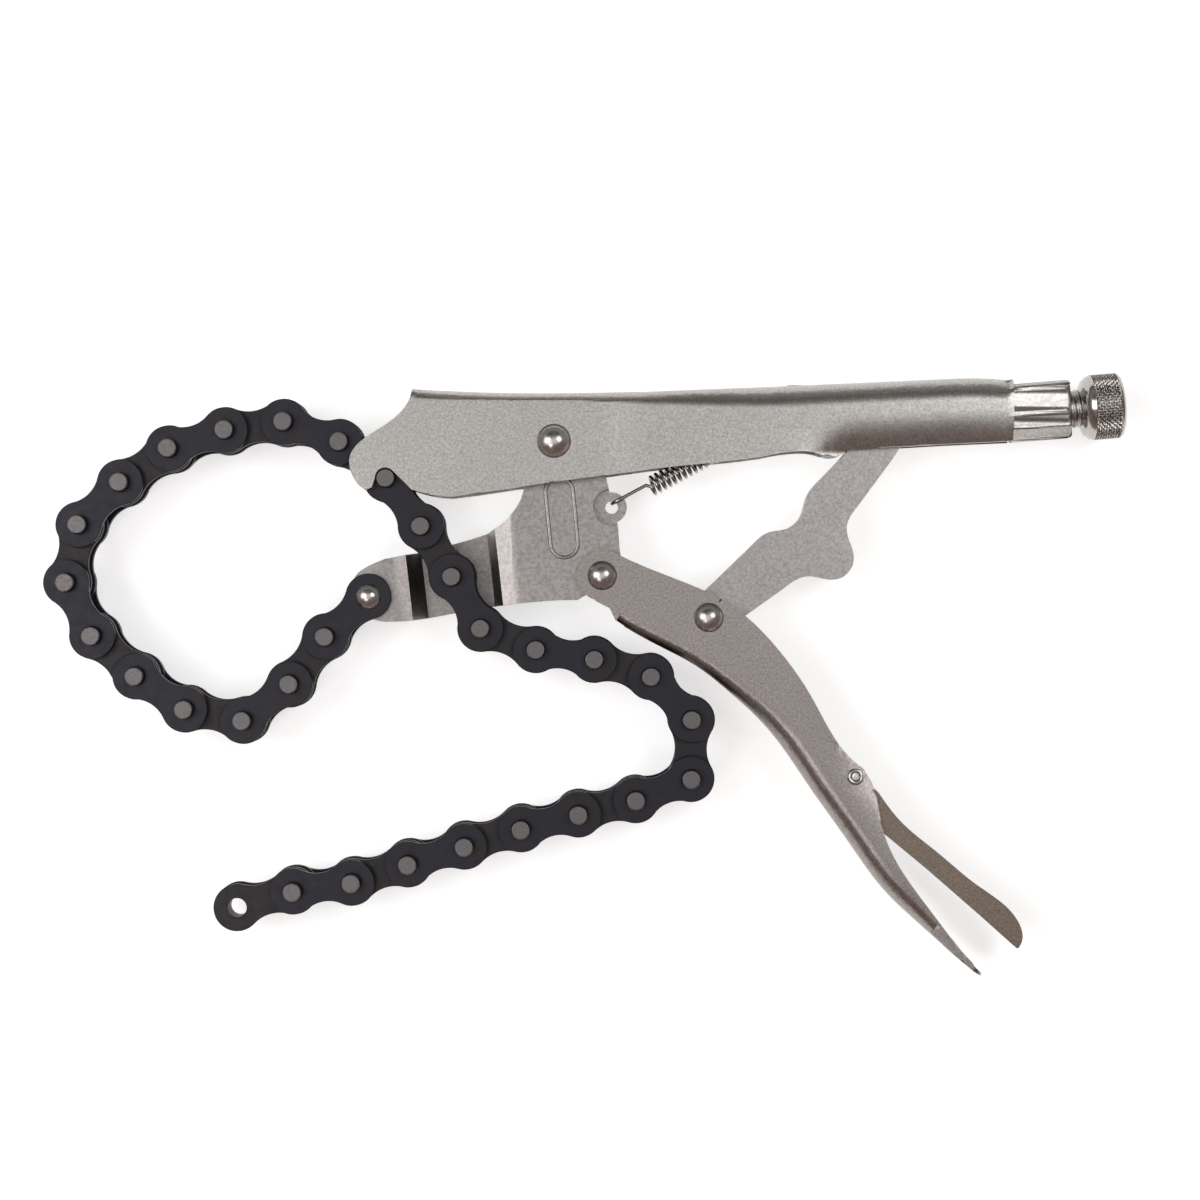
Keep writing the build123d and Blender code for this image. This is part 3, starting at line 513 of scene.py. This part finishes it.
def folded(node, edge, cuts, half, sheet, old, new, lean, lean_inside, region, material, width):
    """A folded channel again with a fuller bend along its edge and walls that lean in below it.

    Half, new, lean and region are functions: half the channel's width, the new bend radius along the edge,
    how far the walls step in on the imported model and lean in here, and how much of the bend is made.
    """
    bm = bmesh.new()
    bm.from_mesh(nodes[node].data)
    rounded(bm, width, 3)
    cut_grid(bm, cuts)
    places = np.array([v.co[:] for v in bm.verts]) / MM
    depth, share, inward = along_edge(places[:, :2], edge)
    side, out = np.sign(places[:, 2]), np.abs(places[:, 2])
    halves = half(places)
    radius = old + (new(share) - old) * region(places, share)
    straight, full = lean(places, depth, share)
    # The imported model's straight step goes first, so that the wall is even where it leans
    flush = (np.abs(halves - straight - out) < STEP_NEAR) & (depth > old)
    out = np.where(flush, halves, out + np.where(depth > old, straight, 0))
    to_depth, to_out, inset = bent(depth, out, halves, old, radius)
    # The sheet's inner face follows the outer one at the sheet's thickness
    inner = inset > sheet / 2
    under = depth - sheet
    under = np.where(under < WEB_NEAR, np.minimum(under, 0.0), under)
    in_radius = np.maximum(radius - sheet, LEAST_BEND)
    in_depth, in_out, _ = bent(under, out, halves - sheet, INNER_BEND, in_radius)
    to_depth = np.where(inner, np.where(under > 0, in_depth + sheet, depth + in_depth - under), to_depth)
    to_out = np.where(inner, in_out - (full if lean_inside else straight), to_out - full)
    places[:, :2] += inward * (to_depth - depth)[:, None]
    places[:, 2] = side * np.where(out > MIDDLE, to_out, out)
    for vert, place in zip(bm.verts, places):
        vert.co = Vector(place) * MM
    bmesh.ops.remove_doubles(bm, verts=bm.verts, dist=FOLD_WELD * MM)
    remade(bm, node, "_folded", material, "nickel_steel", FOLD_CREASE)


def grid_mesh(name, rings, closed_ends=True):
    """A mesh through rings of points, closed round each ring."""
    rings = np.asarray(rings, float)
    count, around = rings.shape[:2]
    points = [tuple(p) for p in rings.reshape(-1, 3)]
    faces = []
    for i in range(count - 1):
        for j in range(around):
            k = (j + 1) % around
            faces.append((i * around + j, i * around + k, (i + 1) * around + k, (i + 1) * around + j))
    if closed_ends:
        faces.append(tuple(reversed(range(around))))
        faces.append(tuple((count - 1) * around + j for j in range(around)))
    mesh = bpy.data.meshes.new(name)
    mesh.from_pydata(points, [], faces)
    mesh.validate()
    return mesh


# Chain, rivets and the lever's pin
for node in sorted(nodes):
    if node.startswith("outer_link"):
        softened(node, 0.16, blued, "blued_steel")
    elif node.startswith("inner_link"):
        softened(node, 0.16, oiled, "oiled_steel")
    elif node.startswith("chain_pins"):
        softened(node, 0.32, pinned, "pin_steel")
for node in ("jaw_rivet", "handle_rivet", "link_rivet", "chain_rivet"):
    nodes[node].data.materials.clear()
    nodes[node].data.materials.append(polished)
softened("lever_pin", 0.4, polished, "rivet_steel", 3)


def leaning(depth, most, start, span, limit):
    """How far a wall leans in: a curve that grows with the depth below its start."""
    return most * np.clip((depth - start) / span, 0, limit) ** 2


def upper_lean(places, depth, share):
    """How far the upper handle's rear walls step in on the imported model, and how far they lean in here."""
    x, y = places[:, 0], places[:, 1]
    step = np.clip(PRESS_FIRST + PRESS_SLOPE * (x - PRESS_START), 0, PRESS_MOST)
    straight = np.where(x > PRESS_START, step, 0) * np.clip((PRESS_FOOT - y) / PRESS_RISE, 0, 1)
    return straight, leaning(depth, *UPPER_LEAN) * ramp(x, (110, 128), (0, 1))


def lower_lean(places, depth, share):
    """No step, and how far the lower handle's walls lean in from the middle of its length on."""
    along = ramp(share, (0.40, 0.56, 0.86, 0.95), (0, 1, 1, 0))
    return np.zeros(len(places)), leaning(depth, *LOWER_LEAN) * along


folded(
    "upper_handle", smooth_run(SPINE, 14),
    cuts=[((0, 0, 1), -8.1, 8.1, 0.6), ((0, 1, 0), -4.0, 27.2, 0.55), ((1, 0, 0), 8.0, 168.0, 2.0)],
    half=lambda places: ramp(places[:, 0], (54.7, 70.7), (8.3, 7.6)),
    sheet=UPPER_SHEET, old=UPPER_BEND,
    new=lambda share: ramp(1 - share, (0.25, 0.42, 0.62), (3.3, 4.6, 6.7)),
    lean=upper_lean, lean_inside=True,
    region=lambda places, share: ramp(places[:, 0], (7.5, 9.5, 167.0, 168.2), (0, 1, 1, 0)),
    material=nickel, width=0.6,
)
folded(
    "lower_handle", smooth_run(LOWER_EDGE, 12),
    cuts=[
        ((0, 0, 1), -5.8, 5.8, 0.6),
        ((-math.sin(LOWER_WAY), math.cos(LOWER_WAY), 0), -24.0, 36.0, 0.7),
        ((math.cos(LOWER_WAY), math.sin(LOWER_WAY), 0), 62.0, 208.0, 1.6),
    ],
    half=lambda places: np.full(len(places), LOWER_HALF),
    sheet=LOWER_SHEET, old=LOWER_BEND,
    new=lambda share: ramp(share, (0.15, 0.45, 0.80, 0.95), (3.4, 5.6, 5.6, 3.6)),
    lean=lower_lean, lean_inside=False,
    region=lambda places, share: ramp(share, (0.02, 0.06, 0.94, 0.985), (0, 1, 1, 0)),
    material=shaded, width=0.9,
)


def lever_head(bm):
    """Keeps the lever's head round its pin behind the lower handle's edge."""
    pin = Vector((*LEVER_PIN, 0)) * MM
    for vert in bm.verts:
        away = Vector((vert.co.x, vert.co.y, 0)) - pin
        if away.length < HEAD_REACH * MM and away.x + away.y > -1 * MM and away.length > HEAD_RADIUS * MM:
            vert.co -= away * (1 - HEAD_RADIUS * MM / away.length)


def upper_rim(bm):
    """The points round a plate's upper face, in order and in millimetres."""
    rim = {}
    for edge in bm.edges:
        if len(edge.link_faces) == 2:
            flat, wall = sorted(edge.link_faces, key=lambda f: -f.normal.z)
            if flat.normal.z > 0.9 and abs(wall.normal.z) < 0.5:
                for one, other in (edge.verts, reversed(edge.verts)):
                    rim.setdefault(one, []).append(other)
    start = max(rim, key=lambda v: v.co.x)
    run = [start, rim[start][0]]
    while run[-1] is not start and len(run) <= len(rim):
        run.append(next(v for v in rim[run[-1]] if v is not run[-2]))
    return np.array([v.co[:2] for v in run[:-1]]) / MM


def eased_outline(bm):
    """Eases the corners in the toggle link's outline, seen from above, where it shows."""
    welded(bm)
    cut_grid(bm, [((1, 0, 0), 60.3, 170.0, 1.1), ((0, 1, 0), -46.2, 24.0, 1.1)])
    places = upper_rim(bm)
    steps = np.linalg.norm(np.roll(places, -1, axis=0) - places, axis=1)
    passed, whole = np.concatenate([[0], np.cumsum(steps)[:-1]]), steps.sum()
    apart = np.abs(passed[:, None] - passed[None, :])
    apart = np.minimum(apart, whole - apart)
    share = np.exp(-apart**2 / (2 * EASE**2)) * ((steps + np.roll(steps, 1)) / 2)[None, :]
    share /= share.sum(axis=1, keepdims=True)
    eased = share @ places
    eased = 2 * eased - share @ eased
    shown = ramp(places[:, 1], (-44, -38, 3, 8), (0, 1, 1, 0))[:, None]
    moved = {tuple(p.round(2)): tuple(e) for p, e in zip(places, places + (eased - places) * shown)}
    for vert in bm.verts:
        found = moved.get((round(vert.co.x / MM, 2), round(vert.co.y / MM, 2)))
        if found:
            vert.co.x, vert.co.y = found[0] * MM, found[1] * MM


# The release lever takes the darker, browner nickel of painted shade
softened("release_lever", 0.5, shade_darkened, "nickel_steel", 2, shaped=lever_head)
softened("toggle_link", 0.6, stamped, "nickel_steel", 2, shaped=eased_outline)
softened("moving_jaw", 0.8, forged, "nickel_steel", 3)

panel_turn = math.atan2(PANEL_TOP[1] - PANEL_FOOT[1], PANEL_TOP[0] - PANEL_FOOT[0])
for name, face in (("panel_rim_near", 1), ("panel_rim_far", -1)):
    rings = []
    for (x, y), first in ((PANEL_TOP, -90), (PANEL_FOOT, 90)):
        for step in range(BEAD_STEPS + 1):
            turn = panel_turn + math.radians(first + 180 / BEAD_STEPS * step)
            ring = []
            for lean in np.linspace(0, math.pi, BEAD_POINTS):
                reach = PANEL_RADIUS + BEAD_WIDE * math.cos(lean) * face
                ring.append((x + reach * math.cos(turn), y + reach * math.sin(turn),
                             face * (LEDGE + BEAD_HIGH * math.sin(lean))))
            rings.append(ring)
    rings.append(rings[0])
    bead = grid_mesh(name, np.array(rings) * MM, False)
    piece = dressed(name, bead, forged, body_of("moving_jaw"), "nickel_steel")
    piece.data.shade_smooth()


def on_screw(station, radius, turn):
    """A place round the screw's axis, in metres. Arrays may be given."""
    along_x, along_y = math.cos(SCREW_ANGLE), math.sin(SCREW_ANGLE)
    side = radius * np.cos(turn)
    x = SCREW_MIDDLE[0] + station * along_x - side * along_y
    y = SCREW_MIDDLE[1] + station * along_y + side * along_x
    return np.stack([x, y, radius * np.sin(turn)], axis=-1) * MM


turns = np.linspace(0, 2 * math.pi, KNOB_POINTS, endpoint=False)


def knurl(station):
    """How deep the two crossing sets of grooves are, round the knob at a station."""
    phase = station / KNURL_STEP
    first = np.abs(((turns / (2 * math.pi) * KNURL_AROUND + phase) % 1) - 0.5) * 2
    second = np.abs(((turns / (2 * math.pi) * KNURL_AROUND - phase) % 1) - 0.5) * 2
    return KNURL_DEPTH * (1 - np.minimum(1, KNURL_SHARP * np.minimum(first, second)))


rings = []
for station, radius in KNOB_FRONT:
    rings.append(on_screw(station, np.full(KNOB_POINTS, radius), turns))
band = np.linspace(KNOB_START + KNURL_MARGIN, KNOB_END - KNURL_MARGIN, KNURL_ROWS)
for station in band:
    fade = min(1.0, (station - band[0]) / KNURL_FADE, (band[-1] - station) / KNURL_FADE)
    rings.append(on_screw(station, KNOB_RADIUS - knurl(station) * max(fade, 0.0), turns))
for station, radius in KNOB_REAR:
    rings.append(on_screw(station, np.full(KNOB_POINTS, radius), turns))
knob = dressed(
    "knurled_head", grid_mesh("knurled_head", rings), knurled, "knob", "nickel_steel", "knurled_knob"
)
smooth(knob, KNOB_CREASE)

screw_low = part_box("adjusting_screw")[0]
screw_tip = ((screw_low.x / MM - SCREW_MIDDLE[0]) * math.cos(SCREW_ANGLE)) + 1.0
wide = np.linspace(0, 2 * math.pi, THREAD_POINTS, endpoint=False)
rings = [
    on_screw(screw_tip, np.full(THREAD_POINTS, CORE), wide),
    on_screw(screw_tip, np.full(THREAD_POINTS, SCREW_RADIUS - 1.2), wide),
]
for station in np.arange(screw_tip, SCREW_END + 0.001, THREAD_PITCH / THREAD_STEPS)[2:]:
    wave = np.abs(((station / THREAD_PITCH - wide / (2 * math.pi)) % 1) - 0.5) * 2
    entry = min(1.0, (station - screw_tip) / THREAD_ENTRY)
    radius = SCREW_RADIUS - THREAD_DEPTH * (1 - wave)
    rings.append(on_screw(station, radius * (THREAD_TIP + (1 - THREAD_TIP) * entry), wide))
rings.append(on_screw(SCREW_END, np.full(THREAD_POINTS, CORE), wide))
screw = dressed(
    "threaded_screw", grid_mesh("threaded_screw", rings), turned, "adjusting_screw", "nickel_steel",
    "adjusting_screw",
)
smooth(screw, THREAD_CREASE)

ear, tab = Vector((*SPRING_EAR, 0)) * MM, Vector((*SPRING_TAB, 0)) * MM
spring_way = (tab - ear).normalized()
spring_side = Vector((-spring_way.y, spring_way.x, 0))
spring_long = (tab - ear).length / MM


def in_spring(x, y, z):
    """A place in the spring's own frame, x along its axis from the ear."""
    return ear + (spring_way * x + spring_side * y + Vector((0, 0, 1)) * z) * MM


def arc(middle_x, y, from_degrees, to_degrees, count):
    """Points of a hook's bow in the plane across the ear or tab."""
    found = []
    for step in range(count + 1):
        turn = math.radians(from_degrees + (to_degrees - from_degrees) * step / count)
        found.append(in_spring(middle_x + COIL_RADIUS * math.cos(turn), y, COIL_RADIUS * math.sin(turn)))
    return found


coil_stop = spring_long - COIL_END
wire = arc(EAR_RIM, HOOK_OFF, -30, -270, 20)
wire += [in_spring(x, HOOK_OFF, COIL_RADIUS) for x in np.linspace(EAR_RIM + 0.6, COIL_START - 1.0, 12)]
for step in range(COIL_TURNS * COIL_POINTS + 1):
    turn = 2 * math.pi * step / COIL_POINTS
    share = step / (COIL_TURNS * COIL_POINTS)
    wire.append(in_spring(COIL_START + (coil_stop - COIL_START) * share,
                          -COIL_RADIUS * math.sin(turn), COIL_RADIUS * math.cos(turn)))
wire += [in_spring(x, -HOOK_OFF, COIL_RADIUS) for x in np.linspace(coil_stop + 1.0, spring_long - TAB_RIM, 4)]
wire += arc(spring_long - TAB_RIM, -HOOK_OFF, 90, -150, 16)[1:]

rings = []
across = None
for i, place in enumerate(wire):
    heading = (wire[min(i + 1, len(wire) - 1)] - wire[max(i - 1, 0)]).normalized()
    across = heading.orthogonal() if across is None else across - heading * across.dot(heading)
    across.normalize()
    other = heading.cross(across)
    rings.append([place + (across * math.cos(a) + other * math.sin(a)) * WIRE_RADIUS * MM
                  for a in np.linspace(0, 2 * math.pi, WIRE_POINTS, endpoint=False)])
spring = dressed("spring_wire", grid_mesh("spring_wire", rings), sprung, None, "spring_wire", "return_spring")
spring.data.shade_smooth()
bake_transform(spring)


def glowing_paper():
    """Matt white paper that glows for the camera and for mirrors, up to plain white far away."""
    made = bpy.data.materials.new("paper")
    tree, out = bare_tree(made, "ShaderNodeOutputMaterial")
    matt = tree.nodes.new("ShaderNodeBsdfDiffuse")
    matt.inputs["Color"].default_value = (PAPER_WHITE, PAPER_WHITE, PAPER_WHITE, 1)
    glow = tree.nodes.new("ShaderNodeEmission")
    rays = tree.nodes.new("ShaderNodeLightPath")
    where = tree.nodes.new("ShaderNodeTexCoord")
    distance = tree.nodes.new("ShaderNodeVectorMath")
    distance.operation = "LENGTH"
    tree.links.new(where.outputs["Object"], distance.inputs[0])
    fading = map_range(tree, distance.outputs["Value"], PAPER_NEAR, PAPER_FAR, GLOW_NEAR, GLOW_FAR)
    seen = two_values(tree, "MAXIMUM", rays.outputs["Is Camera Ray"], rays.outputs["Is Glossy Ray"])
    seen = two_values(tree, "MAXIMUM", seen, rays.outputs["Is Transmission Ray"])
    tree.links.new(two_values(tree, "MULTIPLY", seen, fading), glow.inputs["Strength"])
    both = tree.nodes.new("ShaderNodeAddShader")
    tree.links.new(matt.outputs[0], both.inputs[0])
    tree.links.new(glow.outputs[0], both.inputs[1])
    tree.links.new(both.outputs[0], out.inputs[0])
    return made


def studio_room():
    """A world with a near and a far side, each with its own colours by height."""
    made = bpy.data.worlds.new("studio")
    tree, out = bare_tree(made, "ShaderNodeOutputWorld")
    sky = tree.nodes.new("ShaderNodeBackground")
    where = tree.nodes.new("ShaderNodeTexCoord")
    split = tree.nodes.new("ShaderNodeSeparateXYZ")
    tree.links.new(where.outputs["Generated"], split.inputs[0])
    sides = {}
    for side, stops in ROOM.items():
        shades = tree.nodes.new("ShaderNodeValToRGB")
        elements = shades.color_ramp.elements
        for place, tone in stops:
            stop = elements[int(place)] if place in (0.0, 1.0) else elements.new(place)
            stop.color = (*tone, 1)
        tree.links.new(split.outputs["Z"], shades.inputs[0])
        sides[side] = shades.outputs[0]
    room = tree.nodes.new("ShaderNodeMix")
    room.data_type = "RGBA"
    share = map_range(tree, split.outputs["Y"], -ROOM_BLEND, ROOM_BLEND, 0.0, 1.0)
    tree.links.new(share, room.inputs["Factor"])
    tree.links.new(sides["near"], room.inputs["A"])
    tree.links.new(sides["far"], room.inputs["B"])
    tree.links.new(room.outputs["Result"], sky.inputs["Color"])
    tree.links.new(sky.outputs[0], out.inputs[0])
    return made


floor_mesh = bpy.data.meshes.new("floor")
floor_height = cad_box[0].z - PAPER_GAP
floor_mesh.from_pydata(
    [(x * PAPER_REACH, y * PAPER_REACH, floor_height) for x, y in ((-1, -1), (1, -1), (1, 1), (-1, 1))],
    [], [(0, 1, 2, 3)],
)
floor = bpy.data.objects.new("floor", floor_mesh)
scene.collection.objects.link(floor)
floor_mesh.materials.append(glowing_paper())
scene.world = studio_room()

middle = Vector((
    (PHOTO_SIDE / 2 - ORIGIN_PIXEL[0]) / PIXELS_PER_MM * MM,
    (ORIGIN_PIXEL[1] - PHOTO_SIDE / 2) / PIXELS_PER_MM * MM,
    0,
))


def softbox(name, offset, size, watts):
    """A square of soft light that faces the tool."""
    lamp = bpy.data.lights.new(name, "AREA")
    lamp.shape = "RECTANGLE"
    lamp.size, lamp.size_y = size
    lamp.energy = watts
    holder = bpy.data.objects.new(name, lamp)
    scene.collection.objects.link(holder)
    holder.location = middle + Vector(offset)
    holder.rotation_euler = (middle - holder.location).to_track_quat("-Z", "Y").to_euler()


softbox("right_box", (0.52, 0.26, 0.95), (0.44, 0.40), 2.3)
softbox("left_box", (-0.74, 0.10, 0.95), (0.60, 0.70), 4.6)
softbox("low_box", (-0.36, -0.40, 0.95), (0.26, 0.24), 0.95)

camera_data = bpy.data.cameras.new("camera")
camera = bpy.data.objects.new("camera", camera_data)
scene.collection.objects.link(camera)
scene.camera = camera
camera.location = middle + Vector((0, 0, CAMERA_HEIGHT))
camera_data.sensor_width = SENSOR
camera_data.lens = SENSOR * (CAMERA_HEIGHT - PICTURE_HEIGHT) / (PHOTO_SIDE / PIXELS_PER_MM * MM)
camera_data.clip_start, camera_data.clip_end = 0.01, 20
scene.view_settings.view_transform = "Standard"
